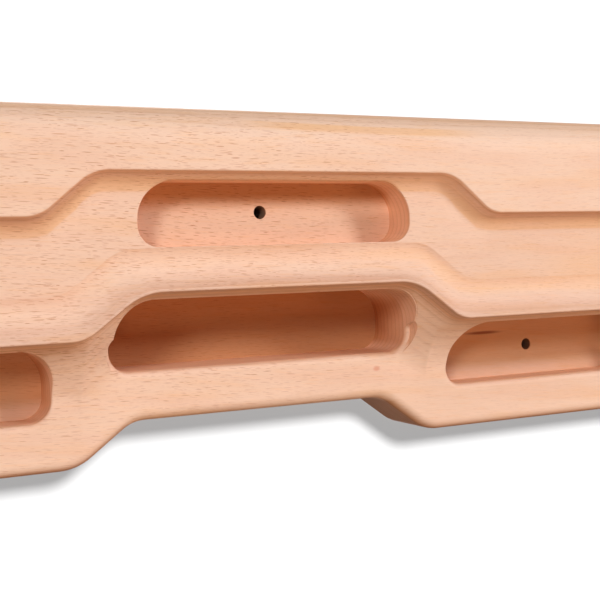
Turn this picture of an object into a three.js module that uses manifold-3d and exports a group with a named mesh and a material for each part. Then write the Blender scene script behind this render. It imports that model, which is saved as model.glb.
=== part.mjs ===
import * as THREE from "three";
import { mergeVertices } from "three/addons/utils/BufferGeometryUtils.js";
import Module from "manifold-3d";

// A wooden hangboard: a beech block glued up from four full-depth staves, then milled as one.
// Millimetres. X runs along the board, Y into the wall, Z up.
// The origin is the middle of the flat back, and depths are measured from the back to the front.

// Block
const boardLength = 500;
const boardDepth = 60;
const staveWidth = 46;
const lowestJointHeight = 32;

// Outer edges
const topRound = 18;
const bottomRound = 5;
const endRound = 6;
const cornerRadius = 12;

// Three crest lines and the bottom edge run level in the middle, and lower by sideDrop towards
// the ends. These bands lie between them in the middle of the board, from the top edge down.
const topBand = 27.2;
const upperBand = 31.1;
const middleBand = 18;
const lowerBand = 55.5;
const sideDrop = 18.2;

// Each line drops along a rounded brow, a straight slope and a rounded foot.
// Half way down it passes its turn distance from the middle of the board.
const highTurn = 96;
const highSlopeDegrees = 39.7;
const highBrowRadius = 20;
const highFootRadius = 16;
const middleTurn = 85.5;
const middleSlopeDegrees = 37.5;
const middleBrowRadius = 19;
const middleFootRadius = 20;
const lowTurn = 77.7;
const lowSlopeDegrees = 36.5;
const lowBrowRadius = 27;
const lowFootRadius = 17;
const bottomTurn = 74.4;
const bottomSlopeDegrees = 36.3;
const bottomBrowRadius = 17;
const bottomFootRadius = 23;

// Cove under the high crest, milled with a ball nose
const coveRadius = 10;
const coveDrop = 7.2;

// Small hollow step under the middle crest
const stepDrop = 1.5;
const stepHeight = 1.6;

// Leaning band between the middle and the low crest
const lowCrestSetback = 1.6;
const bandHollow = 0.6;

// Lip under the low crest, then a ramp that runs out into the lower face
const lipDrop = 11.8;
const lipLean = 1.5;
const rampSlopeDegrees = 38;
const rampFootRadius = 22.8;
const lowerFaceSetback = 28;

// Pockets: places of their rims, widths, depths or the wood left behind them, and corner radii.
// A brow is the wood between a crest line and the pocket under it, a sill the wood below a pocket.
const upperBrow = 3.6;
const upperSill = 0.3;
const upperHalfWidth = 65.2;
const upperPocketDepth = 17.4;
const lowerBrow = 3.2;
const lowerSill = 21.5;
const centreHalfWidth = 73.6;
const centreBackWall = 5;
const sidePocketStart = 97.7;
const endWall = 27.7;
const sideBackWall = 16.4;
const pocketTopRadius = 16;
const pocketBottomRadius = 9;

// Screw holes, right through the back walls of the pockets
const holeDiameter = 6;
const upperHolePlace = -2.3;
const upperHoleAboveSill = 14.5;

// How far every cutter runs past what it cuts
const overrun = 10;

// Counts of flat steps
const bendSteps = 19;
const middleSteps = 2;
const endSteps = 4;
const roundSteps = 4;
const topSteps = 8;
const rampFootSteps = 4;
const bandSteps = 3;
const stepSteps = 2;
const coveSteps = 6;
const cornerSteps = 6;
const holeSteps = 16;

const { sin, cos, tan, asin, acos, abs, sqrt, max, min, PI } = Math;
const quarter = PI / 2;
const radians = (degrees) => (degrees * PI) / 180;
const range = (count) => Array.from({ length: count }, (_, index) => index);
const shares = (count) => range(count + 1).map((index) => index / count);

const lowCrestHeight = sideDrop + lowerBand;
const middleCrestHeight = lowCrestHeight + middleBand;
const highCrestHeight = middleCrestHeight + upperBand;
const boardHeight = highCrestHeight + topBand;
const halfLength = boardLength / 2;
const halfHeight = boardHeight / 2;
const lowestZ = -halfHeight;
const middleFaceDepth = boardDepth - coveDrop;
const lowCrestDepth = boardDepth - lowCrestSetback;
const lowerFaceDepth = boardDepth - lowerFaceSetback;

// A line across the board, with the run and fall of its three stretches worked out
function crestLine(height, turn, slopeDegrees, browRadius, footRadius) {
  const slope = radians(slopeDegrees);
  const browRun = browRadius * sin(slope);
  const browFall = browRadius * (1 - cos(slope));
  const footRun = footRadius * sin(slope);
  const footFall = footRadius * (1 - cos(slope));
  const straightRun = (sideDrop - browFall - footFall) / tan(slope);
  const start = turn - browRun - (sideDrop / 2 - browFall) / tan(slope);
  const end = start + browRun + straightRun + footRun;
  return { height, slope, browRadius, footRadius, browRun, browFall, straightRun, start, end };
}

const highLine = crestLine(highCrestHeight, highTurn, highSlopeDegrees, highBrowRadius, highFootRadius);
const middleLine = crestLine(
  middleCrestHeight,
  middleTurn,
  middleSlopeDegrees,
  middleBrowRadius,
  middleFootRadius,
);
const lowLine = crestLine(lowCrestHeight, lowTurn, lowSlopeDegrees, lowBrowRadius, lowFootRadius);
const bottomLine = crestLine(sideDrop, bottomTurn, bottomSlopeDegrees, bottomBrowRadius, bottomFootRadius);
const lines = [highLine, middleLine, lowLine, bottomLine];

// Fall of a line and its tilt at a place along the board
function bendAt(line, x) {
  const run = abs(x) - line.start;
  if (run <= 0) return { fall: 0, tilt: 0 };
  if (run < line.browRun) {
    const tilt = asin(run / line.browRadius);
    return { fall: line.browRadius * (1 - cos(tilt)), tilt };
  }
  const straight = run - line.browRun;
  if (straight < line.straightRun) {
    return { fall: line.browFall + straight * tan(line.slope), tilt: line.slope };
  }
  const tilt = asin(max(line.end - abs(x), 0) / line.footRadius);
  return { fall: sideDrop - line.footRadius * (1 - cos(tilt)), tilt };
}

// Height of a line, moved square to itself by offset
function lineZ(line, x, offset) {
  const bend = bendAt(line, x);
  return lowestZ + line.height - bend.fall + offset / cos(bend.tilt);
}

// How far a round of this radius has turned away at a place near the end of the board
function turnedAway(radius, x) {
  const into = min(max(abs(x) - (halfLength - radius), 0), radius);
  return radius - sqrt(radius * radius - into * into);
}

const topZ = (x, below) => halfHeight - turnedAway(cornerRadius, x) - below;
const bottomZ = (x, above) => lineZ(bottomLine, x, above) + turnedAway(cornerRadius, x);

// The front from the bottom edge to the top edge, as rows that run along the board
function frontRows() {
  const rows = [];
  const addRow = (height, depth) => rows.push({ height, depth });

  for (const share of shares(roundSteps)) {
    const turn = quarter * share;
    const above = bottomRound * (1 - cos(turn));
    addRow((x) => bottomZ(x, above), lowerFaceDepth - bottomRound * (1 - sin(turn)));
  }

  const rampSlope = radians(rampSlopeDegrees);
  const lipFootDepth = lowCrestDepth - lipDrop;
  const rampFall = lipFootDepth - lowerFaceDepth - rampFootRadius * (1 - cos(rampSlope));
  const rampRun = rampFall / tan(rampSlope);
  const rampFoot = lipLean + rampRun + rampFootRadius * sin(rampSlope);
  for (const share of shares(rampFootSteps)) {
    const turn = rampSlope * share;
    const below = rampFoot - rampFootRadius * sin(turn);
    addRow((x) => lineZ(lowLine, x, -below), lowerFaceDepth + rampFootRadius * (1 - cos(turn)));
  }
  addRow((x) => lineZ(lowLine, x, -lipLean), lipFootDepth);

  const bandTopDepth = middleFaceDepth - stepDrop;
  for (const share of shares(bandSteps).slice(0, -1)) {
    const hollow = bandHollow * sin(PI * share);
    const depth = lowCrestDepth + (bandTopDepth - lowCrestDepth) * share - hollow;
    const height = (x) =>
      lineZ(lowLine, x, 0) * (1 - share) + lineZ(middleLine, x, -stepHeight) * share;
    addRow(height, depth);
  }
  for (const share of shares(stepSteps)) {
    const turn = quarter * share;
    const below = stepHeight * (1 - sin(turn));
    addRow((x) => lineZ(middleLine, x, -below), bandTopDepth + stepDrop * (1 - cos(turn)));
  }

  const coveTurn = acos(1 - coveDrop / coveRadius);
  const coveRun = coveRadius * sin(coveTurn);
  for (const share of shares(coveSteps)) {
    const turn = coveTurn * share;
    const below = coveRun - coveRadius * sin(turn);
    addRow((x) => lineZ(highLine, x, -below), middleFaceDepth + coveRadius * (1 - cos(turn)));
  }

  for (const share of shares(topSteps)) {
    const turn = quarter * share;
    addRow((x) => topZ(x, topRound * (1 - sin(turn))), boardDepth - topRound * (1 - cos(turn)));
  }
  return rows;
}

// Places along the board where the front has a column: close together where the lines bend
function columnPlaces() {
  const bendStart = min(...lines.map((line) => line.start));
  const bendEnd = max(...lines.map((line) => line.end));
  const half = [
    ...shares(middleSteps).slice(1, -1).map((share) => bendStart * share),
    ...shares(bendSteps).map((share) => bendStart + (bendEnd - bendStart) * share),
    ...shares(endSteps).map((share) => halfLength - cornerRadius * (1 - sin(quarter * share))),
  ];
  return [...half.map((place) => -place).reverse(), 0, ...half];
}

// Solids from geometries, and back again
const wasm = await Module();
wasm.setup();

function solidFrom(geometry) {
  const bare = geometry.index ? geometry.toNonIndexed() : geometry.clone();
  bare.deleteAttribute("normal");
  bare.deleteAttribute("uv");
  const merged = mergeVertices(bare);
  const mesh = new wasm.Mesh({
    numProp: 3,
    vertProperties: new Float32Array(merged.attributes.position.array),
    triVerts: new Uint32Array(merged.index.array),
  });
  return new wasm.Manifold(mesh);
}

function geometryFrom(solid) {
  const mesh = solid.getMesh();
  const geometry = new THREE.BufferGeometry();
  geometry.setAttribute("position", new THREE.BufferAttribute(mesh.vertProperties, 3));
  geometry.setIndex(new THREE.BufferAttribute(mesh.triVerts, 1));
  geometry.computeVertexNormals();
  return geometry;
}

// The milled block without pockets: a unit box whose grid is laid on the rows and columns
function blockSolid() {
  const rows = frontRows();
  const places = columnPlaces();
  const columns = places.length - 1;
  const box = new THREE.BoxGeometry(1, 1, 1, columns, 1, rows.length - 1);
  const point = box.attributes.position;
  for (const index of range(point.count)) {
    const x = places[Math.round((point.getX(index) + 1 / 2) * columns)];
    const row = rows[Math.round((point.getZ(index) + 1 / 2) * (rows.length - 1))];
    const isFront = point.getY(index) < 0;
    const y = isFront ? turnedAway(endRound, x) - row.depth : 0;
    point.setXYZ(index, x, y, row.height(x));
  }
  return solidFrom(box);
}

// A pocket outline with wide upper and tight lower corners, as far as its height has room for them
function pocketOutline(halfWidth, sillZ, browZ) {
  const outline = new THREE.Shape();
  const bottom = min(pocketBottomRadius, (browZ - sillZ) / 2);
  const top = min(pocketTopRadius, browZ - sillZ - bottom);
  outline.absarc(halfWidth - top, browZ - top, top, 0, quarter);
  outline.absarc(top - halfWidth, browZ - top, top, quarter, PI);
  outline.absarc(bottom - halfWidth, sillZ + bottom, bottom, PI, PI + quarter);
  outline.absarc(halfWidth - bottom, sillZ + bottom, bottom, PI + quarter, 2 * PI);
  return outline;
}

// A cutter that stands on the pocket floor and runs out through the front
function pocketCutter(place, halfWidth, sillZ, browZ, floorDepth) {
  const outline = pocketOutline(halfWidth, sillZ, browZ);
  const depth = boardDepth + overrun - floorDepth;
  const settings = { depth, bevelEnabled: false, curveSegments: cornerSteps };
  const geometry = new THREE.ExtrudeGeometry(outline, settings);
  geometry.rotateX(quarter);
  geometry.translate(place, -floorDepth, 0);
  return solidFrom(geometry);
}

function holeCutter(place, z) {
  const radius = holeDiameter / 2;
  const length = boardDepth + 2 * overrun;
  const geometry = new THREE.CylinderGeometry(radius, radius, length, holeSteps);
  geometry.translate(place, overrun - length / 2, z);
  return solidFrom(geometry);
}

function pocketCutters() {
  const upperSillZ = lineZ(middleLine, 0, upperSill);
  const upperBrowZ = lineZ(highLine, 0, -upperBrow);
  const upperFloor = middleFaceDepth - upperPocketDepth;
  const centreSillZ = bottomZ(0, lowerSill);
  const centreBrowZ = lineZ(lowLine, 0, -lowerBrow);
  const sideSillZ = centreSillZ - sideDrop;
  const sideBrowZ = centreBrowZ - sideDrop;
  const sideHoleZ = (sideSillZ + sideBrowZ) / 2;
  const sideHalfWidth = (halfLength - endWall - sidePocketStart) / 2;
  const sidePocketPlace = sidePocketStart + sideHalfWidth;
  const cutters = [
    pocketCutter(0, upperHalfWidth, upperSillZ, upperBrowZ, upperFloor),
    pocketCutter(0, centreHalfWidth, centreSillZ, centreBrowZ, centreBackWall),
    holeCutter(upperHolePlace, upperSillZ + upperHoleAboveSill),
  ];
  for (const side of [-1, 1]) {
    const place = side * sidePocketPlace;
    cutters.push(pocketCutter(place, sideHalfWidth, sideSillZ, sideBrowZ, sideBackWall));
    cutters.push(holeCutter(place, sideHoleZ));
  }
  return cutters;
}

// One stave: the slice of the milled board between two level glue joints
function staveSolid(board, fromZ, toZ) {
  const slab = new THREE.BoxGeometry(
    boardLength + 2 * overrun,
    boardDepth + 2 * overrun,
    toZ - fromZ,
  );
  slab.translate(0, -boardDepth / 2, (fromZ + toZ) / 2);
  return board.intersect(solidFrom(slab));
}

function buildBoard() {
  const board = pocketCutters().reduce((rest, cutter) => rest.subtract(cutter), blockSolid());
  const firstJointZ = lowestZ + lowestJointHeight;
  const staves = [
    { name: "stave_bottom", color: 0xf6cbab, from: lowestZ - overrun, to: firstJointZ },
    { name: "stave_lower", color: 0xf8cdaf, from: firstJointZ, to: firstJointZ + staveWidth },
    {
      name: "stave_upper",
      color: 0xf7ccad,
      from: firstJointZ + staveWidth,
      to: firstJointZ + 2 * staveWidth,
    },
    {
      name: "stave_top",
      color: 0xf9cfb2,
      from: firstJointZ + 2 * staveWidth,
      to: halfHeight + overrun,
    },
  ];
  const group = new THREE.Group();
  for (const stave of staves) {
    const material = new THREE.MeshStandardMaterial({
      color: stave.color,
      roughness: 0.62,
      metalness: 0,
    });
    const mesh = new THREE.Mesh(geometryFrom(staveSolid(board, stave.from, stave.to)), material);
    mesh.name = stave.name;
    group.add(mesh);
  }
  return group;
}

export default buildBoard();
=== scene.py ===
from math import acos, asin, atan2, cos, exp, pi, radians, sin, sqrt, tan

import bmesh
import bpy
from mathutils import Matrix, Vector


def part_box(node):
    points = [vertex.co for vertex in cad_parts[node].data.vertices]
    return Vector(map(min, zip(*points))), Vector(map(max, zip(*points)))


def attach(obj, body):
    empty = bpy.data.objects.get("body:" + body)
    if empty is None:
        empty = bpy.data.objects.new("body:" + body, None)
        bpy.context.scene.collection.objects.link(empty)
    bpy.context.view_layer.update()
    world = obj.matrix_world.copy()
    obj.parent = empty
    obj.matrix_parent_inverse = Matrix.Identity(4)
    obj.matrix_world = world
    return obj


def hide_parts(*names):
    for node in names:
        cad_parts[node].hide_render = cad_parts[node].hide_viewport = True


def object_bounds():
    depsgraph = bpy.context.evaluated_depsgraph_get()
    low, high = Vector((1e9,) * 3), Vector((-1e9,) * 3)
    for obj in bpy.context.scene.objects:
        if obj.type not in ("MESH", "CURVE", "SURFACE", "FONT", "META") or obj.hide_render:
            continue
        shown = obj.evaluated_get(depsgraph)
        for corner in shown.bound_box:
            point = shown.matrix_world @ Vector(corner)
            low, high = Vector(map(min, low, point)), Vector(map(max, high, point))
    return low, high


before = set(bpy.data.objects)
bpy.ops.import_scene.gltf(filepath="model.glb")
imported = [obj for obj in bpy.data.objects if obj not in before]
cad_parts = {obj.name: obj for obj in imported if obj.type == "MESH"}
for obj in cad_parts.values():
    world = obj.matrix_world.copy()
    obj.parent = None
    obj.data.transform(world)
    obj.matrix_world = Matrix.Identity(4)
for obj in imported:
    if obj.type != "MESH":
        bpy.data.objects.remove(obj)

# A wooden hangboard on a pale wall. Metres, X along the board, Y into the wall, Z up,
# origin in the middle of the board's flat back. Depths run from the back to the front.

cad_low, cad_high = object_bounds()
MM = 0.001
QUARTER = pi / 2

# Board outline, from the frame
HALF_LENGTH = cad_high.x
HALF_HEIGHT = cad_high.z
BOARD_DEPTH = -cad_low.y
JOINTS = [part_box(name)[0].z for name in ("stave_lower", "stave_upper", "stave_top")]

# Outer edges
TOP_ROUND = 18 * MM
BOTTOM_ROUND = 5 * MM
END_ROUND = 6 * MM
CORNER_RADIUS = 12 * MM
CREST_EASE = 0.7 * MM
LOW_CREST_EASE = 1.4 * MM

# Bands between the crest lines in the middle of the board, and the lines' drop to the ends
TOP_BAND = 27.2 * MM
UPPER_BAND = 31.1 * MM
MIDDLE_BAND = 18 * MM
SIDE_DROP = 18.2 * MM

# Milled hollows of the front
COVE_RADIUS = 10 * MM
COVE_DROP = 7.2 * MM
STEP_DROP = 1.5 * MM
SIDE_STEP_DROP = 0.6 * MM
LOW_CREST_SETBACK = 1.6 * MM
BAND_HOLLOW = 0.6 * MM
LIP_DROP = 8 * MM
LIP_LEAN = 1 * MM
RAMP_FOOT = 27 * MM
RAMP_BEND = 1.6
LOWER_FACE_SETBACK = 28 * MM

# Pockets
UPPER_BROW = 3.6 * MM
UPPER_SILL = 0.3 * MM
UPPER_HALF_WIDTH = 65.2 * MM
UPPER_POCKET_DEPTH = 17.4 * MM
LOWER_BROW = 3.2 * MM
LOWER_SILL = 21.5 * MM
CENTRE_PLACE = 0.8 * MM
CENTRE_HALF_WIDTH = 73.6 * MM
CENTRE_BACK_WALL = 5 * MM
SIDE_POCKET_START = 97.7 * MM
END_WALL = 27.7 * MM
SIDE_BACK_WALL = 16.4 * MM
POCKET_TOP_RADIUS = 16 * MM
POCKET_BOTTOM_RADIUS = 9 * MM
HOLE_RADIUS = 3 * MM
UPPER_HOLE_PLACE = -2.3 * MM
UPPER_HOLE_ABOVE_SILL = 14.5 * MM
OVERRUN = 10 * MM

# Fineness of the milled surface
BEND_STEPS = 64
END_STEPS = 14
FLAT_STEPS = 5
ROUND_STEPS = 10
TOP_STEPS = 26
RAMP_STEPS = 18
BAND_STEPS = 8
STEP_STEPS = 14
COVE_STEPS = 14
EASE_STEPS = 6
CORNER_STEPS = 16
RIM_STEPS = 6
HOLE_SIDES = 32
SHARP_ANGLE = radians(32)

MIDDLE_FACE = BOARD_DEPTH - COVE_DROP
LOW_CREST = BOARD_DEPTH - LOW_CREST_SETBACK
LOWER_FACE = BOARD_DEPTH - LOWER_FACE_SETBACK
HIGH_CREST_Z = HALF_HEIGHT - TOP_BAND
MIDDLE_CREST_Z = HIGH_CREST_Z - UPPER_BAND
LOW_CREST_Z = MIDDLE_CREST_Z - MIDDLE_BAND

# Heights of the pockets, and places of the screw holes
UPPER_FLOOR = MIDDLE_FACE - UPPER_POCKET_DEPTH
UPPER_SILL_Z = MIDDLE_CREST_Z + UPPER_SILL
UPPER_BROW_Z = HIGH_CREST_Z - UPPER_BROW
UPPER_HOLE_Z = UPPER_SILL_Z + UPPER_HOLE_ABOVE_SILL
CENTRE_SILL_Z = SIDE_DROP - HALF_HEIGHT + LOWER_SILL
CENTRE_BROW_Z = LOW_CREST_Z - LOWER_BROW
SIDE_HALF_WIDTH = (HALF_LENGTH - END_WALL - SIDE_POCKET_START) / 2
SIDE_PLACE = SIDE_POCKET_START + SIDE_HALF_WIDTH
SIDE_HOLE_Z = (CENTRE_SILL_Z + CENTRE_BROW_Z) / 2 - SIDE_DROP


def shares(count):
    return [index / count for index in range(count + 1)]


# The camera stands left of the middle and looks along the board
CAMERA_PLACE = Vector((-0.2155, -0.4825, 0.0123))
CAMERA_YAW = radians(27.43)
CAMERA_PITCH = radians(2.33)
CAMERA_ROLL = radians(1.62)
CAMERA_LENS = 66.84
CAMERA_NEAR = 10 * MM


def make_camera():
    data = bpy.data.cameras.new("camera")
    data.lens = CAMERA_LENS
    data.clip_start = CAMERA_NEAR
    camera = bpy.data.objects.new("camera", data)
    yaw = Matrix.Rotation(-CAMERA_YAW, 4, "Z")
    pitch = Matrix.Rotation(QUARTER - CAMERA_PITCH, 4, "X")
    roll = Matrix.Rotation(-CAMERA_ROLL, 4, "Z")
    camera.matrix_world = Matrix.Translation(CAMERA_PLACE) @ yaw @ pitch @ roll
    bpy.context.scene.collection.objects.link(camera)
    bpy.context.scene.camera = camera


class Line:
    """A crest line: level in the middle, then a rounded brow, a straight slope and a rounded
    foot. Turn, brow and foot are in millimetres, and the slope is in degrees."""

    def __init__(self, height, turn, slope, brow, foot):
        self.height = height
        self.slope = radians(slope)
        self.brow = brow * MM
        self.foot = foot * MM
        self.brow_run = self.brow * sin(self.slope)
        self.brow_fall = self.brow * (1 - cos(self.slope))
        foot_run = self.foot * sin(self.slope)
        foot_fall = self.foot * (1 - cos(self.slope))
        self.straight = (SIDE_DROP - self.brow_fall - foot_fall) / tan(self.slope)
        self.start = turn * MM - self.brow_run - (SIDE_DROP / 2 - self.brow_fall) / tan(self.slope)
        self.end = self.start + self.brow_run + self.straight + foot_run

    def bend(self, x):
        """How far the line has fallen at a place, and how far it is tilted there."""
        run = abs(x) - self.start
        if run <= 0:
            return 0, 0
        if run < self.brow_run:
            tilt = asin(run / self.brow)
            return self.brow * (1 - cos(tilt)), tilt
        straight = run - self.brow_run
        if straight < self.straight:
            return self.brow_fall + straight * tan(self.slope), self.slope
        tilt = asin(max(self.end - abs(x), 0) / self.foot)
        return SIDE_DROP - self.foot * (1 - cos(tilt)), tilt

    def z(self, x, offset=0):
        """Height of the line, moved square to itself by offset."""
        fall, tilt = self.bend(x)
        return self.height - fall + offset / cos(tilt)

    def below(self, x, z):
        """How far a point lies below the line, square to it."""
        fall, tilt = self.bend(x)
        return (self.height - fall - z) * cos(tilt)


high_line = Line(HIGH_CREST_Z, turn=96, slope=39.7, brow=20, foot=16)
middle_line = Line(MIDDLE_CREST_Z, turn=85.5, slope=37.5, brow=19, foot=20)
low_line = Line(LOW_CREST_Z, turn=77.7, slope=36.5, brow=27, foot=17)
bottom_line = Line(SIDE_DROP - HALF_HEIGHT, turn=74.4, slope=36.3, brow=17, foot=23)
all_lines = [high_line, middle_line, low_line, bottom_line]

RAMP_DROP = LOW_CREST - LOWER_FACE - LIP_DROP
COVE_TURN = acos(1 - COVE_DROP / COVE_RADIUS)
COVE_RUN = COVE_RADIUS * sin(COVE_TURN)


def step_drop(x):
    """Depth of the shallow step under the middle line: less towards the ends of the board."""
    share = middle_line.bend(x)[0] / SIDE_DROP
    return STEP_DROP * (1 - share) + SIDE_STEP_DROP * share


def depth_under_low_crest(below):
    """A steep lip that eases into a long hollow ramp down to the lower face."""
    below = min(max(below, 0), RAMP_FOOT)
    lip = LIP_DROP * exp(-below / LIP_LEAN)
    return LOWER_FACE + lip + RAMP_DROP * (1 - below / RAMP_FOOT) ** RAMP_BEND


def depth_under_high_crest(below):
    left = min(max(COVE_RUN - below, 0), COVE_RUN)
    return MIDDLE_FACE + COVE_RADIUS - sqrt(COVE_RADIUS**2 - left**2)


def turned_away(radius, x):
    """How far a round of this radius has turned away at a place near the end of the board."""
    into = min(max(abs(x) - (HALF_LENGTH - radius), 0), radius)
    return radius - sqrt(radius**2 - into**2)


def top_z(x, below):
    return HALF_HEIGHT - turned_away(CORNER_RADIUS, x) - below


def bottom_z(x, above):
    return bottom_line.z(x, above) + turned_away(CORNER_RADIUS, x)


def eased(first, corner, last):
    """Points of a small round between two flats: offsets along the line and depths."""
    points = []
    for t in shares(EASE_STEPS):
        weights = ((1 - t) ** 2, 2 * t * (1 - t), t**2)
        offset = sum(w * p[0] for w, p in zip(weights, (first, corner, last)))
        depth = sum(w * p[1] for w, p in zip(weights, (first, corner, last)))
        points.append((offset, depth))
    return points


def band_lean(x):
    return atan2(LOW_CREST - MIDDLE_FACE + step_drop(x), MIDDLE_BAND)


def step_point(x, share):
    """A point of the step's hollow, an arc from the leaning band up to the middle line."""
    lean = band_lean(x)
    rise = acos(1 - step_drop(x) / COVE_RADIUS)
    turn = -lean + (lean + rise) * share
    offset = COVE_RADIUS * (sin(turn) - sin(rise))
    depth = MIDDLE_FACE - step_drop(x) + COVE_RADIUS * (1 - cos(turn))
    return middle_line.z(x, offset), depth


def band_point(x, share):
    """A point of the leaning band, from the low crest up to the step's hollow."""
    top_height, top_depth = step_point(x, 0)
    height = low_line.z(x) + (top_height - low_line.z(x)) * share
    depth = LOW_CREST + (top_depth - LOW_CREST) * share - BAND_HOLLOW * sin(pi * share)
    return height, depth


def front_rows():
    """The front from the bottom edge to the top, as rows that run along the board. Each row
    gives the height and the depth at a place."""
    rows = []

    def add_along(line, points):
        for offset, depth in points:
            rows.append(lambda x, offset=offset, depth=depth: (line.z(x, offset), depth))

    for share in shares(ROUND_STEPS):
        turn = QUARTER * share
        above = BOTTOM_ROUND * (1 - cos(turn))
        depth = LOWER_FACE - BOTTOM_ROUND * (1 - sin(turn))
        rows.append(lambda x, above=above, depth=depth: (bottom_z(x, above), depth))

    ramp = [RAMP_FOOT * share**2 for share in reversed(shares(RAMP_STEPS)[2:])]
    add_along(low_line, [(-below, depth_under_low_crest(below)) for below in ramp])

    lean = band_lean(0)
    steepness = LIP_DROP / LIP_LEAN + RAMP_BEND * RAMP_DROP / RAMP_FOOT
    lip = (-LOW_CREST_EASE / steepness, LOW_CREST - LOW_CREST_EASE)
    edge = (LOW_CREST_EASE * cos(lean), LOW_CREST - LOW_CREST_EASE * sin(lean))
    add_along(low_line, eased(lip, (0, LOW_CREST), edge))
    for share in shares(BAND_STEPS)[2:]:
        rows.append(lambda x, share=share: band_point(x, share))

    for share in shares(STEP_STEPS)[1:]:
        rows.append(lambda x, share=share: step_point(x, share))

    cove = [COVE_RUN - COVE_RADIUS * sin(COVE_TURN * share) for share in shares(COVE_STEPS)[:-1]]
    add_along(high_line, [(-below, depth_under_high_crest(below)) for below in cove])
    wall = (-CREST_EASE * cos(COVE_TURN), BOARD_DEPTH - CREST_EASE * sin(COVE_TURN))
    add_along(high_line, eased(wall, (0, BOARD_DEPTH), (CREST_EASE, BOARD_DEPTH)))

    for share in shares(TOP_STEPS):
        turn = QUARTER * share
        below = TOP_ROUND * (1 - sin(turn))
        depth = BOARD_DEPTH - TOP_ROUND * (1 - cos(turn))
        rows.append(lambda x, below=below, depth=depth: (top_z(x, below), depth))
    return rows


def column_places():
    start = min(line.start for line in all_lines)
    end = max(line.end for line in all_lines)
    flat_end = HALF_LENGTH - CORNER_RADIUS
    half = [start * share for share in shares(FLAT_STEPS)[1:-1]]
    half += [start + (end - start) * share for share in shares(BEND_STEPS)]
    half += [end + (flat_end - end) * share for share in shares(FLAT_STEPS)[1:-1]]
    half += [flat_end + CORNER_RADIUS * sin(QUARTER * share) for share in shares(END_STEPS)]
    return [-place for place in reversed(half)] + [0] + half


def boundary(bm):
    return [edge for edge in bm.edges if edge.is_boundary]


def make_block():
    """The milled block without its pockets."""
    rows = front_rows()
    places = column_places()
    bm = bmesh.new()
    bmesh.ops.create_grid(bm, x_segments=len(places) - 1, y_segments=len(rows) - 1, size=1)
    for vert in bm.verts:
        x = places[round((vert.co.x + 1) / 2 * (len(places) - 1))]
        height, depth = rows[round((vert.co.y + 1) / 2 * (len(rows) - 1))](x)
        vert.co = (x, turned_away(END_ROUND, x) - depth, height)
    grown = bmesh.ops.extrude_edge_only(bm, edges=boundary(bm))
    for vert in (item for item in grown["geom"] if isinstance(item, bmesh.types.BMVert)):
        vert.co.y = 0
    bmesh.ops.holes_fill(bm, edges=boundary(bm), sides=0)
    bmesh.ops.recalc_face_normals(bm, faces=bm.faces)
    return bm


def piece_from(bm, name):
    mesh = bpy.data.meshes.new(name)
    bm.to_mesh(mesh)
    bm.free()
    piece = bpy.data.objects.new(name, mesh)
    bpy.context.scene.collection.objects.link(piece)
    return piece


def pocket_outline(half_width, sill, brow):
    """Outline points with their outward directions, from the upper right corner round."""
    corners = [
        (half_width - POCKET_TOP_RADIUS, brow - POCKET_TOP_RADIUS, POCKET_TOP_RADIUS, 0),
        (POCKET_TOP_RADIUS - half_width, brow - POCKET_TOP_RADIUS, POCKET_TOP_RADIUS, 1),
        (POCKET_BOTTOM_RADIUS - half_width, sill + POCKET_BOTTOM_RADIUS, POCKET_BOTTOM_RADIUS, 2),
        (half_width - POCKET_BOTTOM_RADIUS, sill + POCKET_BOTTOM_RADIUS, POCKET_BOTTOM_RADIUS, 3),
    ]
    points = []
    for x, z, radius, turns in corners:
        for share in shares(CORNER_STEPS):
            out = Vector((cos(QUARTER * (turns + share)), 0, sin(QUARTER * (turns + share))))
            points.append((Vector((x, 0, z)) + out * radius, out))
    return points


def cutter_from(sections, name):
    """A closed solid lofted through rings of points."""
    bm = bmesh.new()
    rings = []
    for section in sections:
        verts = [bm.verts.new(point) for point in section]
        rings.append([bm.edges.new((verts[i - 1], verts[i])) for i in range(len(verts))])
    for ring, following in zip(rings, rings[1:]):
        bmesh.ops.bridge_loops(bm, edges=ring + following)
    bmesh.ops.holes_fill(bm, edges=boundary(bm), sides=0)
    bmesh.ops.recalc_face_normals(bm, faces=bm.faces)
    return piece_from(bm, name)


def pocket_cutter(name, place, outline, floor, rim):
    """rim(point, out, share) moves an outline point along the rim, from the pocket's wall out."""
    centre = Vector((place, 0, 0))
    points = [(centre + point, out) for point, out in outline]
    sections = [[point + Vector((0, -floor, 0)) for point, out in points]]
    for share in shares(RIM_STEPS):
        sections.append([rim(point, out, share) for point, out in points])
    sections.append([Vector((point.x, -BOARD_DEPTH - OVERRUN, point.z)) for point in sections[-1]])
    return cutter_from(sections, name)


def hole_cutter(name, x, z):
    bm = bmesh.new()
    bmesh.ops.create_cone(
        bm,
        cap_ends=True,
        segments=HOLE_SIDES,
        radius1=HOLE_RADIUS,
        radius2=HOLE_RADIUS,
        depth=BOARD_DEPTH + OVERRUN,
        matrix=Matrix.Translation((x, -BOARD_DEPTH / 2, z)) @ Matrix.Rotation(QUARTER, 4, "X"),
    )
    return piece_from(bm, name)


# Rims of the pockets. Most edges are nearly sharp. A wide round runs along the sills of the
# lower pockets. Low on both ends of the centre pocket is a round with a short chamfer up to
# the ramp. The change from the sharp edge to these starts at CHANGE_START under the low crest.
SHARP_ROUND = 0.5 * MM
SILL_ROUND = 3 * MM
END_RIM_ROUND = 2 * MM
END_RIM_START = 31.4 * MM
CHAMFER_WIDTH = 0.5 * MM
RIM_TURN = QUARTER * 0.97
CHANGE_START = 19.4 * MM
CHANGE_STEP = 0.4 * MM
CHANGE_STEPS = 12
CHANGE_DROPS = [CHANGE_START + CHANGE_STEP * index for index in range(CHANGE_STEPS)]


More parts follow.
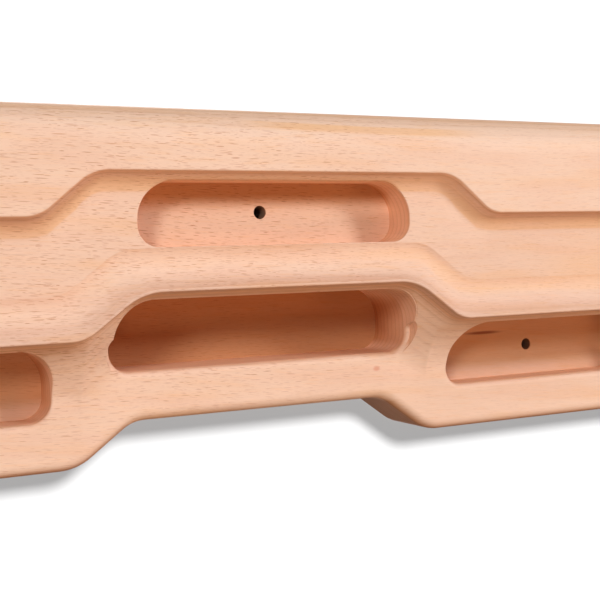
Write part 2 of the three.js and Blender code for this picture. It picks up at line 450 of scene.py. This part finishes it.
def rounded(point, out, depth, radius, share):
    """A point of a rim round that ends level with a surface at this depth."""
    turn = RIM_TURN * share
    moved = point + out * radius * (1 - cos(turn))
    moved.y = -(depth - radius * (1 - sin(turn)))
    return moved


def upper_rim(point, out, share):
    depth = depth_under_high_crest(high_line.below(point.x, point.z))
    return rounded(point, out, depth, SHARP_ROUND, share)


def chamfered(point, out, share):
    """A point of the centre pocket's end rim: a round in the first half, then a chamfer."""
    edge = END_RIM_START + END_RIM_ROUND
    far = point + out * (END_RIM_ROUND + CHAMFER_WIDTH)
    rise = depth_under_low_crest(low_line.below(far.x, far.z)) - edge
    beyond = max(share * 2 - 1, 0)
    moved = rounded(point, out, edge, END_RIM_ROUND, min(share * 2, 1))
    return moved + out * CHAMFER_WIDTH * beyond - Vector((0, max(rise, 0) * beyond, 0))


def lower_rim(drop, has_chamfer):
    first = LOW_CREST_Z - drop - CHANGE_DROPS[0]
    last = LOW_CREST_Z - drop - CHANGE_DROPS[-1]

    def rim(point, out, share):
        depth = depth_under_low_crest(low_line.below(point.x, point.z))
        sharp = rounded(point, out, depth, SHARP_ROUND, share)
        sill = rounded(point, out, LOWER_FACE, SILL_ROUND, share)
        end = chamfered(point, out, share) if has_chamfer else sharp
        low = sill.lerp(end, out.x**2)
        change = min(max((first - point.z) / (first - last), 0), 1)
        return sharp.lerp(low, 1 - (1 - change) ** 2)

    return rim


def with_heights(outline, heights):
    """Adds points at these heights to both straight ends of an outline."""
    result = []
    for index, (point, out) in enumerate(outline):
        before = outline[index - 1][0]
        crossed = [z for z in heights if (before.z - z) * (point.z - z) < 0]
        for z in sorted(crossed, reverse=before.z > point.z):
            result.append((Vector((point.x, 0, z)), Vector((out.x, 0, 0)).normalized()))
        result.append((point, out))
    return result


def make_cutters():
    upper = pocket_outline(UPPER_HALF_WIDTH, UPPER_SILL_Z, UPPER_BROW_Z)
    heights = [LOW_CREST_Z - drop for drop in CHANGE_DROPS]
    centre = pocket_outline(CENTRE_HALF_WIDTH, CENTRE_SILL_Z, CENTRE_BROW_Z)
    centre = with_heights(centre, heights)
    side = pocket_outline(SIDE_HALF_WIDTH, CENTRE_SILL_Z - SIDE_DROP, CENTRE_BROW_Z - SIDE_DROP)
    side = with_heights(side, [height - SIDE_DROP for height in heights])
    centre_rim = lower_rim(0, True)
    side_rim = lower_rim(SIDE_DROP, False)
    cutters = [
        pocket_cutter("upper_cutter", 0, upper, UPPER_FLOOR, upper_rim),
        pocket_cutter("centre_cutter", CENTRE_PLACE, centre, CENTRE_BACK_WALL, centre_rim),
        hole_cutter("upper_hole_cutter", UPPER_HOLE_PLACE, UPPER_HOLE_Z),
    ]
    for place in (-SIDE_PLACE, SIDE_PLACE):
        cutters.append(pocket_cutter("side_cutter", place, side, SIDE_BACK_WALL, side_rim))
        cutters.append(hole_cutter("side_hole_cutter", place, SIDE_HOLE_Z))
    return cutters


def cut_board():
    """The whole milled board as one mesh, with the pockets and holes cut."""
    board = piece_from(make_block(), "milled_board")
    cutters = make_cutters()
    for cutter in cutters:
        cut = board.modifiers.new(cutter.name, "BOOLEAN")
        cut.operation = "DIFFERENCE"
        cut.solver = "EXACT"
        cut.object = cutter
    evaluated = board.evaluated_get(bpy.context.evaluated_depsgraph_get())
    bm = bmesh.new()
    bm.from_mesh(evaluated.to_mesh())
    for spare in [board, *cutters]:
        bpy.data.objects.remove(spare)
    return bm


def make_stave(board, name, low, high):
    """The slice of the board between two level glue joints."""
    bm = board.copy()
    for z, normal in ((low, (0, 0, -1)), (high, (0, 0, 1))):
        if z is None:
            continue
        geometry = bm.verts[:] + bm.edges[:] + bm.faces[:]
        bmesh.ops.bisect_plane(
            bm, geom=geometry, plane_co=(0, 0, z), plane_no=normal, clear_outer=True
        )
        bmesh.ops.holes_fill(bm, edges=boundary(bm), sides=0)
    bmesh.ops.recalc_face_normals(bm, faces=bm.faces)
    stave = piece_from(bm, name + "_wood")
    stave.data.shade_smooth()
    stave.data.set_sharp_from_angle(angle=SHARP_ANGLE)
    weighted = stave.modifiers.new("weighted_normals", "WEIGHTED_NORMAL")
    weighted.keep_sharp = True
    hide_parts(name)
    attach(stave, "root")
    return stave


class Value:
    """A shader socket that can be used in sums."""

    def __init__(self, finish, socket):
        self.finish = finish
        self.socket = socket

    def also(self, output):
        """Another output of the same node."""
        return Value(self.finish, self.socket.node.outputs[output])

    def math(self, operation, *others):
        inputs = dict(enumerate((self, *others)))
        return self.finish.node("ShaderNodeMath", {"operation": operation}, inputs)

    def __add__(self, other):
        return self.math("ADD", other)

    __radd__ = __add__

    def __mul__(self, other):
        return self.math("MULTIPLY", other)

    __rmul__ = __mul__

    def __sub__(self, other):
        return self.math("SUBTRACT", other)

    def __rsub__(self, other):
        return self * -1 + other

    def __truediv__(self, other):
        return self.math("DIVIDE", other)

    def __abs__(self):
        return self.math("ABSOLUTE")

    def step(self, low, high):
        """0 below low, 1 above high, and smooth between."""
        settings = {"interpolation_type": "SMOOTHSTEP"}
        inputs = {"Value": self, "From Min": low, "From Max": high}
        return self.finish.node("ShaderNodeMapRange", settings, inputs)

    def between(self, low, high, soft):
        """1 from low to high, 0 outside, with soft edges of this width."""
        return self.step(low - soft, low + soft) * (1 - self.step(high - soft, high + soft))

    def less(self, mask, share=1):
        """Weaker by this share where the mask is 1."""
        return self * (1 - mask * share)


SPOT_EDGE = (0.3, 1.1)


class Finish:
    """The nodes of a material or of the sky, under construction."""

    def __init__(self, owner):
        self.owner = owner
        owner.use_nodes = True
        self.tree = owner.node_tree
        self.tree.nodes.clear()

    def node(self, kind, settings=None, inputs=None, output=0):
        node = self.tree.nodes.new(kind)
        for name, setting in (settings or {}).items():
            setattr(node, name, setting)
        for key, value in (inputs or {}).items():
            if isinstance(value, Value):
                self.tree.links.new(value.socket, node.inputs[key])
            else:
                node.inputs[key].default_value = value
        return Value(self, node.outputs[output]) if len(node.outputs) else None

    def mix(self, share, first, second, blend="MIX"):
        """A blend of two colours."""
        settings = {"data_type": "RGBA", "blend_type": blend}
        return self.node("ShaderNodeMix", settings, {0: share, 6: first, 7: second}, 2)

    def vector(self, operation, first, second):
        return self.node("ShaderNodeVectorMath", {"operation": operation}, {0: first, 1: second})

    def parts(self, vector):
        first = self.node("ShaderNodeSeparateXYZ", None, {0: vector})
        return [first, first.also(1), first.also(2)]

    def joined(self, x, y, z):
        return self.node("ShaderNodeCombineXYZ", None, {0: x, 1: y, 2: z})

    def noise(self, vector, detail=2.0, roughness=0.5):
        inputs = {"Vector": vector, "Scale": 1.0, "Detail": detail, "Roughness": roughness}
        return self.node("ShaderNodeTexNoise", None, inputs)

    def spot(self, place, centre, size):
        """1 in the middle of a soft mark of this size, 0 outside it."""
        away = self.vector("DIVIDE", self.vector("SUBTRACT", place, centre), size)
        far = self.node("ShaderNodeVectorMath", {"operation": "LENGTH"}, {0: away}, "Value")
        return 1 - far.step(*SPOT_EDGE)

    def done(self, surface, kind="ShaderNodeOutputMaterial"):
        self.node(kind, None, {"Surface": surface})
        return self.owner


def colour(red, green, blue):
    """A colour written as it is seen, 0 to 255, in Blender's linear numbers."""
    values = []
    for value in (red, green, blue):
        share = value / 255
        values.append(share / 12.92 if share <= 0.04045 else ((share + 0.055) / 1.055) ** 2.4)
    return (*values, 1)


# Beech, as growth rings, streaks and ray flecks in the solid block. From here on, sizes of
# the wood are in millimetres. Where a range has two numbers, it is one soft step. Where it has
# three, they are low, high and the softness of both edges.
BEECH_PALE = colour(250, 208, 179)
BEECH_WARM = colour(249, 193, 144)
BEECH_PINK = colour(245, 194, 164)
FLECK_DARK = colour(190, 112, 70)
RING_DARK = colour(196, 134, 96)
END_GRAIN = colour(226, 168, 132)
KNOT_RED = colour(226, 142, 112)
STREAK_DARK = colour(150, 76, 36)

# How the grain falls to the right, fans out towards the bottom and wanders
GRAIN_FALL = 0.048
GRAIN_FAN = 0.0005
GRAIN_WANDER = 9
WANDER_SIZE = (140, 40, 35)
RING_LEAN = 0.006
RING_DROP = 0.03
RING_WANDER = 3
RING_SPACING = 3.3
STEEP_RANGE = (0.35, 0.97)
END_ON_RANGE = (0.5, 0.95)

# Patches, layers and threads of warmer and pinker wood: length, ring depth and height
PATCH_SIZE = (75, 5, 8)
PATCH_DETAIL = 3.0
WARM_ROUGHNESS = 0.55
WARM_RANGE, WARM_SHARE = (0.48, 0.72), 0.4
PINK_RANGE, PINK_SHARE = (0.46, 0.7), 0.38
PINK_OFFSET = (31.7, 12.3, 5.1)
LAYER_RINGS, LAYER_SHARE = (50.4, 51.9, 0.4), 0.45
TOP_LAYER_RINGS, TOP_LAYER_SHARE = (57.4, 59.6, 0.5), 0.85
TOP_LAYER_LENGTH = (-12, 92, 22)
TOP_LAYER_HEIGHT = (55, 62)
THREAD_SIZE = (16, 2, 1.1)
THREAD_RANGE, THREAD_SHARE = (0.5, 0.75), 0.35
FIBRE_SIZE = (8, 1.5, 0.5)
FIBRE_CONTRAST = 0.12
FIBRE_ROUGHNESS = 0.6

# Growth rings, stronger on slanted surfaces
LATE_WOOD_RANGE = (0.55, 0.95)
LATE_WOOD_SHARE = 0.07
LATE_WOOD_STEEP_SHARE = 0.22
FINE_RING_SIZE = (60, 0.55, 25)
FINE_RING_RANGE, FINE_RING_SHARE = (0.48, 0.7), 0.2
END_GRAIN_SHARE = 0.4

# Flecks, each row with the cell that holds one, an offset, the half length, the half width,
# the share of cells that have one, and the strength
FLECK_ROWS = [
    ((7, 38, 1.5), (0, 0, 0), 2.7, 0.16, 0.5, 0.85),
    ((5.2, 30, 1.1), (3.1, 17, 0.6), 1.9, 0.14, 0.55, 0.6),
    ((3.6, 24, 0.8), (1.7, 11, 7.3), 1.4, 0.12, 0.6, 0.3),
]
FLECK_SHORTEST = 0.45
FLECK_PALEST = 0.35
FLECK_EDGE = (0.4, 1.0)
CHANCE_EDGE = 0.001

# Where the flecks fade, and by what share
RIGHT_FADE, RIGHT_FADE_SHARE = (-40, 120), 0.65
LOW_FADE, LOW_FADE_SHARE = (-60, -30), 0.4
HOLLOW_FADE_HEIGHT, HOLLOW_FADE_DEPTH = (-56, -4, 1), (2, 31, 0.5)
HOLLOW_FADE_SHARE = 0.45
TOP_FADE, TOP_FADE_SHARE = (0.75, 0.98), 0.92

# Single marks: centre, size and strength
KNOT = (58.1, 32, -42.6), (2.4, 20, 1.5), 0.6
DARK_STREAK = (132, 16, -30.6), (14, 10, 1.1), 0.8

# Painted shade of the milled surface, multiplied onto the wood. On steep surfaces it is partly the
# darker colour of wood cut at a slant.
SLANT_CUT_AND_PAINTED_SHADE = colour(247, 236, 224)
LEANING_BAND_PAINTED_SHADE = colour(240, 234, 233)
HOLLOW_PAINTED_SHADE = colour(216, 184, 150)
UNDERSIDE_PAINTED_SHADE = colour(216, 192, 174)
BORE_PAINTED_SHADE = colour(84, 52, 36)
BAND_INNER, BAND_OUTER = (50.5, 56.5), (58.4, 59.4)
BAND_TOP = (42, 48)
COVE_FOOT_INNER, COVE_FOOT_OUTER = (52.8, 53.0), (54.5, 58)
COVE_FOOT_LOW, COVE_FOOT_HIGH = (17.5, 18.5), (50, 52)
COVE_FOOT_SHADE_SHARE = 0.8
UPPER_HOLLOW_DEPTH = (35, 52, 0.3)
UPPER_HOLLOW_HEIGHT = (16, 45, 1)
UPPER_HOLLOW_END = (65, 67)
UPPER_HOLLOW_TOP = (32, 42)
UPPER_HOLLOW_SHADE, UPPER_HOLLOW_TOP_SHADE = 0.35, 5.5
UPPER_HOLLOW_WARM_SHADE = 0.25
CENTRE_HOLLOW_HEIGHT = (-37, -3, 0.7)
CENTRE_HOLLOW_END = (75, 76)
CENTRE_HOLLOW_TOP = (-22, -9)
CENTRE_HOLLOW_BACK = (5, 24)
CENTRE_HOLLOW_TOP_SHADE = 0.55
SIDE_HOLLOW_HEIGHT = (-55.5, -21, 0.7)
SIDE_HOLLOW_LENGTH = (96, 224, 0.7)
SIDE_HOLLOW_TOP = (-51, -44)
SIDE_HOLLOW_SHADE, SIDE_HOLLOW_TOP_SHADE = 0.6, 0.7
LOWER_HOLLOW_DEPTH = (2.5, 31, 0.5)
SILL_RANGE, SILL_SHARE = (0.4, 0.9), 0.9
LOW_EDGE = (-60, -56.5)
DEEPEST = 5
DEPTH_OF_SHADE = 38
BORE_SIZE = (8, 90, 8)
BORE_MOUTH = (0.9, 0.2)
BORE_WALL = (0.3, 0.6)
BORE_SHARE = 0.85

# The bare, fine-sanded surface
ROUGHNESS = 0.56
FLECK_ROUGHNESS = 0.15
SPECULAR_LEVEL = 0.12
FIBRE_HEIGHT = 0.3
FLECK_HEIGHT = 0.5
BUMP_STRENGTH = 0.12
BUMP_DISTANCE = 0.2 * MM


class Beech(Finish):
    """The wood of the board, placed by its coordinates in the solid block."""

    def __init__(self, name):
        super().__init__(bpy.data.materials.new(name))
        seat = self.node("ShaderNodeTexCoord", None, None, "Object")
        self.place = self.vector("MULTIPLY", seat, (1 / MM, -1 / MM, 1 / MM))
        self.x, self.depth, self.z = self.parts(self.place)
        normal = self.parts(seat.also("Normal"))
        side_on, self.front_on, self.up_on = [abs(part) for part in normal]
        self.steep = 1 - self.front_on.step(*STEEP_RANGE)
        self.end_on = side_on.step(*END_ON_RANGE)

        slow = self.vector("DIVIDE", self.place, WANDER_SIZE)
        wander_across, wander_into, _ = self.parts(self.noise(slow, 1.0).also("Color"))
        fall = GRAIN_FALL - self.z * GRAIN_FAN
        self.across = self.z + self.x * fall + wander_across * GRAIN_WANDER
        flat_ring = self.depth - self.x * RING_LEAN + self.z * RING_DROP
        self.ring = flat_ring + (wander_into - 0.5) * RING_WANDER

        upper = self.depth.between(*UPPER_HOLLOW_DEPTH) * self.z.between(*UPPER_HOLLOW_HEIGHT)
        self.upper_hollow = upper.less(abs(self.x).step(*UPPER_HOLLOW_END))

    def stretched(self, across_rings, size):
        """Coordinates along the grain, into the wood and across the grain, in these units."""
        along, into, across = size
        return self.joined(self.x / along, across_rings / into, self.across / across)

    def patches(self):
        """Pale wood with broad warmer and pinker patches, warm layers and fine threads, plus
        painted warm shade along the foot of the upper cove and in the upper pocket.
        """
        patch = self.stretched(self.ring, PATCH_SIZE)
        warm_patch = self.noise(patch, PATCH_DETAIL, WARM_ROUGHNESS).step(*WARM_RANGE)
        pink_patch = self.noise(self.vector("ADD", patch, PINK_OFFSET), PATCH_DETAIL)
        layer = self.ring.between(*LAYER_RINGS)
        top_layer = self.ring.between(*TOP_LAYER_RINGS) * self.x.between(*TOP_LAYER_LENGTH)
        top_layer = top_layer * self.z.step(*TOP_LAYER_HEIGHT)
        # Painted warm shade along the foot of the cove under the high crest, and in the upper
        # pocket
        cove_foot_shade = self.depth.step(*COVE_FOOT_INNER).less(self.depth.step(*COVE_FOOT_OUTER))
        cove_foot_shade = cove_foot_shade * self.z.step(*COVE_FOOT_LOW)
        cove_foot_shade = cove_foot_shade.less(self.z.step(*COVE_FOOT_HIGH))

        warm = warm_patch * WARM_SHARE
        for mask, share in (
            (layer, LAYER_SHARE),
            (top_layer, TOP_LAYER_SHARE),
            (self.upper_hollow, UPPER_HOLLOW_WARM_SHADE),
            (cove_foot_shade, COVE_FOOT_SHADE_SHARE),
        ):
            warm = warm.math("MAXIMUM", mask * share)
        wood = self.mix(warm, BEECH_PALE, BEECH_WARM)
        wood = self.mix(pink_patch.step(*PINK_RANGE) * PINK_SHARE, wood, BEECH_PINK)
        thread = self.noise(self.stretched(self.ring, THREAD_SIZE), 2.0, FIBRE_ROUGHNESS)
        return self.mix(thread.step(*THREAD_RANGE) * THREAD_SHARE, wood, BEECH_WARM)

    def rings(self, wood):
        """Growth rings show as fine lines where the surface cuts them at a slant. Steep surfaces
        are darker, partly as wood cut at a slant and partly as painted shade on coves, undersides
        and pocket sides.
        """
        share = (self.ring / RING_SPACING).math("FRACT")
        late_wood = share.step(*LATE_WOOD_RANGE).less(share.step(LATE_WOOD_RANGE[1], 1.0))
        fine_ring = self.noise(self.stretched(self.ring, FINE_RING_SIZE), 2.0, FIBRE_ROUGHNESS)
        line = late_wood * (self.steep * LATE_WOOD_STEEP_SHARE + LATE_WOOD_SHARE)
        line = line + fine_ring.step(*FINE_RING_RANGE) * self.steep * FINE_RING_SHARE
        # Painted shade, partly the colour of slant-cut wood, on steep surfaces
        wood = self.mix(self.steep, wood, SLANT_CUT_AND_PAINTED_SHADE, "MULTIPLY")
        wood = self.mix(self.end_on * END_GRAIN_SHARE, wood, END_GRAIN)
        return self.mix(line, wood, RING_DARK)

    def dashes(self, cell, offset, half_length, half_width, keep):
        """Short lens-shaped dashes along the grain, long into the depth of the wood."""
        grain = self.vector("ADD", self.joined(self.x, self.depth, self.across), offset)
        spaced = self.vector("DIVIDE", grain, cell)
        settings = {"Vector": spaced, "Scale": 1.0}
        nearest = self.node("ShaderNodeTexVoronoi", None, settings, "Position")
        away = self.vector("MULTIPLY", self.vector("SUBTRACT", spaced, nearest), cell)
        along, _, across = self.parts(away)
        length_chance, kept_chance, dark_chance = self.parts(nearest.also("Color"))
        long_share = along / (length_chance * half_length + half_length * FLECK_SHORTEST)
        wide_share = across / half_width
        far = (long_share * long_share + wide_share * wide_share).math("SQRT")
        kept = kept_chance.step(1 - keep, 1 - keep + CHANCE_EDGE)
        dark = dark_chance * (1 - FLECK_PALEST) + FLECK_PALEST
        return kept.less(far.step(*FLECK_EDGE)) * dark

    def flecks(self):
        """Ray flecks. They fade towards the right, the bottom and the lower hollows, and the
        ends and the top have next to none."""
        fleck = None
        for *shape, strength in FLECK_ROWS:
            dash = self.dashes(*shape) * strength
            fleck = fleck.math("MAXIMUM", dash) if fleck else dash
        fleck = fleck.less(self.x.step(*RIGHT_FADE), RIGHT_FADE_SHARE)
        fleck = fleck.less(1 - self.z.step(*LOW_FADE), LOW_FADE_SHARE)
        hollows = self.z.between(*HOLLOW_FADE_HEIGHT) * self.depth.between(*HOLLOW_FADE_DEPTH)
        fleck = fleck.less(hollows, HOLLOW_FADE_SHARE).less(self.end_on)
        return fleck.less(self.up_on.step(*TOP_FADE), TOP_FADE_SHARE)

    def marks(self, wood):
        """One small reddish knot under the centre pocket, and a dark streak in the right one."""
        for (centre, size, strength), tone in ((KNOT, KNOT_RED), (DARK_STREAK, STREAK_DARK)):
            wood = self.mix(self.spot(self.place, centre, size) * strength, wood, tone)
        return wood

    def hollow_painted_shade(self, wood):
        """Painted shade. The leaning bands are a little greyer, and the milled hollows are darker
        and warmer the deeper they lie, and most of all under the crests."""
        from_middle = abs(self.x)
        # Painted shade: the leaning bands are made a little greyer
        band = self.depth.step(*BAND_INNER).less(self.depth.step(*BAND_OUTER))
        wood = self.mix(band.less(self.z.step(*BAND_TOP)), wood, LEANING_BAND_PAINTED_SHADE, "MULTIPLY")

        centre = self.z.between(*CENTRE_HOLLOW_HEIGHT).less(from_middle.step(*CENTRE_HOLLOW_END))
        centre = centre.less(self.up_on.step(*SILL_RANGE), SILL_SHARE)
        side = self.z.between(*SIDE_HOLLOW_HEIGHT) * from_middle.between(*SIDE_HOLLOW_LENGTH)
        side_shade = self.z.step(*SIDE_HOLLOW_TOP) * SIDE_HOLLOW_TOP_SHADE + SIDE_HOLLOW_SHADE
        side = side * side_shade
        lower = centre.math("MAXIMUM", side) * self.depth.between(*LOWER_HOLLOW_DEPTH)
        upper_shade = self.z.step(*UPPER_HOLLOW_TOP) * UPPER_HOLLOW_TOP_SHADE + UPPER_HOLLOW_SHADE
        upper = self.upper_hollow * upper_shade
        deep = (upper + lower).less((self.depth - DEEPEST) / DEPTH_OF_SHADE)
        wood = self.mix(deep, wood, HOLLOW_PAINTED_SHADE, "MULTIPLY")
        overhung = centre * self.z.step(*CENTRE_HOLLOW_TOP)
        overhung = overhung.less(self.depth.step(*CENTRE_HOLLOW_BACK))
        return self.mix(overhung * CENTRE_HOLLOW_TOP_SHADE, wood, HOLLOW_PAINTED_SHADE, "MULTIPLY")

    def edge_painted_shade(self, wood):
        """Painted shade: the underside of the board is a little greyer, and the screw holes are
        dark inside.
        """
        underside_shade = self.steep.less(self.z.step(*LOW_EDGE)).less(self.end_on)
        wood = self.mix(underside_shade, wood, UNDERSIDE_PAINTED_SHADE, "MULTIPLY")
        either_side = self.joined(abs(self.x), self.depth, self.z)
        bores = []
        for place, x, z, floor in (
            (self.place, UPPER_HOLE_PLACE, UPPER_HOLE_Z, UPPER_FLOOR),
            (either_side, SIDE_PLACE, SIDE_HOLE_Z, SIDE_BACK_WALL),
        ):
            mouth = [floor / MM - inside for inside in BORE_MOUTH]
            bore = self.spot(place, (x / MM, floor / MM / 2, z / MM), BORE_SIZE)
            bores.append(bore.less(self.depth.step(*mouth)))
        bore = bores[0].math("MAXIMUM", bores[1]).less(self.front_on.step(*BORE_WALL))
        return self.mix(bore * BORE_SHARE, wood, BORE_PAINTED_SHADE)


def beech(name):
    finish = Beech(name)
    wood = finish.rings(finish.patches())
    fleck = finish.flecks()
    wood = finish.mix(fleck, wood, FLECK_DARK)
    fibre = finish.noise(finish.stretched(finish.depth, FIBRE_SIZE), 2.0, FIBRE_ROUGHNESS)
    shade = fibre * FIBRE_CONTRAST + (1 - FIBRE_CONTRAST / 2)
    wood = finish.mix(1.0, wood, finish.joined(shade, shade, shade), "MULTIPLY")
    wood = finish.edge_painted_shade(finish.hollow_painted_shade(finish.marks(wood)))

    height = fibre * FIBRE_HEIGHT - fleck * FLECK_HEIGHT
    relief = {"Strength": BUMP_STRENGTH, "Distance": BUMP_DISTANCE, "Height": height}
    surface = {
        "Base Color": wood,
        "Roughness": fleck * FLECK_ROUGHNESS + ROUGHNESS,
        "Normal": finish.node("ShaderNodeBump", None, relief),
        "Specular IOR Level": SPECULAR_LEVEL,
    }
    return finish.done(finish.node("ShaderNodeBsdfPrincipled", None, surface))


# Wall, floor, lamps and sky. Azimuths run from the front towards the right.
WALL_SIZE = 6.0
WALL_GAP = 0.5 * MM
WALL_DIFFUSE = 0.25
WALL_SHADE = 0.395
FLOOR_DROP = 1.6
FLOOR_SEEN = 0.9
FLOOR_UNSEEN = 0.04
SKY_STRENGTH = 0.02
LAMP_DISTANCE = 2.5
# Each lamp's name, azimuth, elevation, size, power and colour
LAMPS = [
    ("left_lamp", -40, 19, 0.55, 27.4, (0.975, 1.02, 1.06)),
    ("right_lamp", 48, 21.5, 0.6, 32.6, (0.94, 1.035, 1.15)),
    ("top_lamp", -5, 58, 0.8, 8.5, (0.93, 1.02, 1.15)),
    ("low_left_lamp", -25, -34, 0.8, 15, (1, 0.78, 0.61)),
    ("low_right_lamp", 52, -34, 0.8, 15.5, (1, 0.64, 0.42)),
    ("back_lamp", 165, 20, 1.2, 30, (1, 1, 1)),
]
WALL_LAMP_ELEVATION = 24
WALL_LAMP_SPREAD = 12.5
WALL_LAMP_POWER = 9.5


def make_wall_material():
    """Shows to the camera from the front alone, and lets all other light through."""
    finish = Finish(bpy.data.materials.new("pale_wall"))
    seen = finish.node("ShaderNodeLightPath", None, None, "Is Camera Ray")
    behind = finish.node("ShaderNodeNewGeometry", None, None, "Backfacing")
    grey = (WALL_DIFFUSE, WALL_DIFFUSE, WALL_DIFFUSE, 1)
    matt = finish.node("ShaderNodeBsdfDiffuse", None, {"Color": grey})
    shade = finish.node("ShaderNodeEmission", None, {"Strength": WALL_SHADE})
    lit = finish.node("ShaderNodeAddShader", None, {0: matt, 1: shade})
    clear = finish.node("ShaderNodeBsdfTransparent")
    mixed = {0: seen.less(behind), 1: clear, 2: lit}
    return finish.done(finish.node("ShaderNodeMixShader", None, mixed))


def make_floor_material():
    """Pale to the camera and in reflections, and dark to all other light."""
    finish = Finish(bpy.data.materials.new("pale_floor"))
    seen = finish.node("ShaderNodeLightPath", None, None, "Is Camera Ray")
    seen = seen.math("MAXIMUM", seen.also("Is Glossy Ray"))
    level = seen * (FLOOR_SEEN - FLOOR_UNSEEN) + FLOOR_UNSEEN
    pale = {"Color": finish.joined(level, level, level)}
    return finish.done(finish.node("ShaderNodeBsdfDiffuse", None, pale))


def make_sheet(name, matrix, material):
    bm = bmesh.new()
    bmesh.ops.create_grid(bm, x_segments=1, y_segments=1, size=WALL_SIZE / 2, matrix=matrix)
    sheet = piece_from(bm, name)
    sheet.data.materials.append(material)
    return sheet


def make_backdrop():
    """A pale wall right behind the board and a pale floor below. Returns the wall."""
    upright = Matrix.Translation((0, WALL_GAP, 0)) @ Matrix.Rotation(QUARTER, 4, "X")
    wall = make_sheet("wall", upright, make_wall_material())
    make_sheet("floor", Matrix.Translation((0, 0, -FLOOR_DROP)), make_floor_material())
    return wall


def add_lamp(data, azimuth, elevation, wall, state):
    """Aims a lamp at the origin. It lights only the wall, or all but the wall."""
    azimuth, elevation = radians(azimuth), radians(elevation)
    back = Vector((sin(azimuth) * cos(elevation), -cos(azimuth) * cos(elevation), sin(elevation)))
    lamp = bpy.data.objects.new(data.name, data)
    lamp.location = back * LAMP_DISTANCE
    lamp.rotation_mode = "QUATERNION"
    lamp.rotation_quaternion = (-back).to_track_quat("-Z", "Y")
    bpy.context.scene.collection.objects.link(lamp)
    group = bpy.data.collections.new(data.name + "_reach")
    group.objects.link(wall)
    group.collection_objects[0].light_linking.link_state = state
    lamp.light_linking.receiver_collection = group


def make_lamps(wall):
    """Soft lamps for the board, and an even one that gives the wall the board's shadow."""
    for name, azimuth, elevation, size, power, tint in LAMPS:
        data = bpy.data.lights.new(name, "AREA")
        data.energy = power
        data.color = tint
        data.size = size
        data.shape = "DISK"
        add_lamp(data, azimuth, elevation, wall, "EXCLUDE")
    data = bpy.data.lights.new("wall_lamp", "SUN")
    data.energy = WALL_LAMP_POWER
    data.angle = radians(WALL_LAMP_SPREAD)
    add_lamp(data, 0, WALL_LAMP_ELEVATION, wall, "INCLUDE")


def make_sky():
    """White to the camera and in reflections, and nearly dark to all other light."""
    finish = Finish(bpy.data.worlds.new("sky"))
    seen = finish.node("ShaderNodeLightPath", None, None, "Is Camera Ray")
    seen = seen.math("MAXIMUM", seen.also("Is Glossy Ray"))
    strength = seen * (1 - SKY_STRENGTH) + SKY_STRENGTH
    white = {"Color": (1, 1, 1, 1), "Strength": strength}
    light = finish.node("ShaderNodeBackground", None, white)
    bpy.context.scene.world = finish.done(light, "ShaderNodeOutputWorld")


def main():
    bpy.context.scene.view_settings.view_transform = "Standard"
    make_camera()
    board = cut_board()
    wood = beech("beech")
    edges = [None, *JOINTS, None]
    names = ("stave_bottom", "stave_lower", "stave_upper", "stave_top")
    for name, low, high in zip(names, edges, edges[1:]):
        make_stave(board, name, low, high).data.materials.append(wood)
    board.free()
    make_lamps(make_backdrop())
    make_sky()


main()
